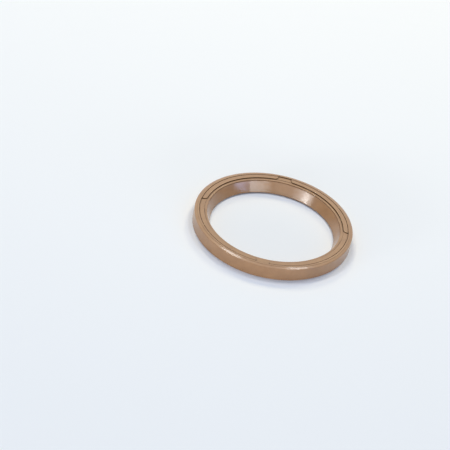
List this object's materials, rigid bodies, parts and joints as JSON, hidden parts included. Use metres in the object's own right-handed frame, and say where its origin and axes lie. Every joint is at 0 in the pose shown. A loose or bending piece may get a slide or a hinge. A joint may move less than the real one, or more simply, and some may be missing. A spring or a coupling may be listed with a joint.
{
  "type": "shaft seal",
  "caption": "Radial shaft seal with a rubber-coated outside, a spring-loaded lip and raised pads on its air side.",
  "frame": {"origin": "centre of the resting face, on the shaft axis", "axes": "+Z along the shaft axis, from the oil side to the air side"},
  "size_m": [0.075, 0.075, 0.007],
  "materials": {
    "fkm_rubber": "satin",
    "case_steel": "satin",
    "spring_steel": "polished"
  },
  "bodies": {
    "root": {"seal_body": "fkm_rubber", "steel_case": "case_steel", "garter_spring": "spring_steel"}
  },
  "joints": []
}
